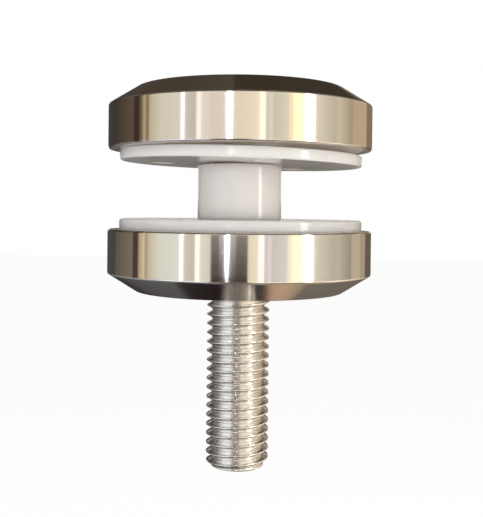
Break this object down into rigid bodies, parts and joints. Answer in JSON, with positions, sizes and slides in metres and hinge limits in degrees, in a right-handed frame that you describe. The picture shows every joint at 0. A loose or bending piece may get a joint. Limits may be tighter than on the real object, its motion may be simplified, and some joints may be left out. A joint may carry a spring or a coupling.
{
  "type": "glass panel standoff",
  "caption": "Point fixing for a glass panel: two bevelled steel discs with nylon gaskets and a spacer sleeve on a threaded stud.",
  "frame": {"origin": "centre of the base disc's outer face, where it meets the wall or bracket, on the stud's axis", "axes": "+Z along the stud's axis towards the cap, the stud's free end points to -Z, +X is the side on which the loose upper gasket hangs lower, -Y is the front"},
  "size_m": [0.05, 0.05, 0.0717],
  "materials": {
    "disc_steel": "turned and polished stainless steel",
    "stud_steel": "bright rolled stainless steel thread",
    "gasket_nylon": "glossy moulded white nylon",
    "sleeve_nylon": "glossy white nylon"
  },
  "bodies": {
    "stud": {"threaded_stud": "stud_steel"},
    "base_stack": {"lower_gasket": "gasket_nylon", "spacer_sleeve": "sleeve_nylon"},
    "base": {"base_disc": "disc_steel"},
    "cap_gasket": {"upper_gasket": "gasket_nylon"},
    "cap": {"cap_disc": "disc_steel"}
  },
  "joints": [
    {"name": "base_travel", "type": "slide", "parent": "stud", "child": "base_stack", "axis": [0, 0, 1], "range_m": [-0.03325, 0]},
    {"name": "base_turn", "type": "hinge", "parent": "base_stack", "child": "base", "pos_m": [0, 0, 0], "axis": [0, 0, 1], "range_deg": [-6840, 0]},
    {"name": "cap_travel", "type": "slide", "parent": "stud", "child": "cap_gasket", "axis": [0, 0, 1], "range_m": [0, 0.007]},
    {"name": "cap_turn", "type": "hinge", "parent": "cap_gasket", "child": "cap", "pos_m": [0, 0, 0.03], "axis": [0, 0, 1], "range_deg": [0, 1440]}
  ],
  "couplings": [
    {"joint": "base_turn", "follows": "base_travel", "rad_per_m": 3590.4},
    {"joint": "cap_turn", "follows": "cap_travel", "rad_per_m": 3590.4}
  ]
}
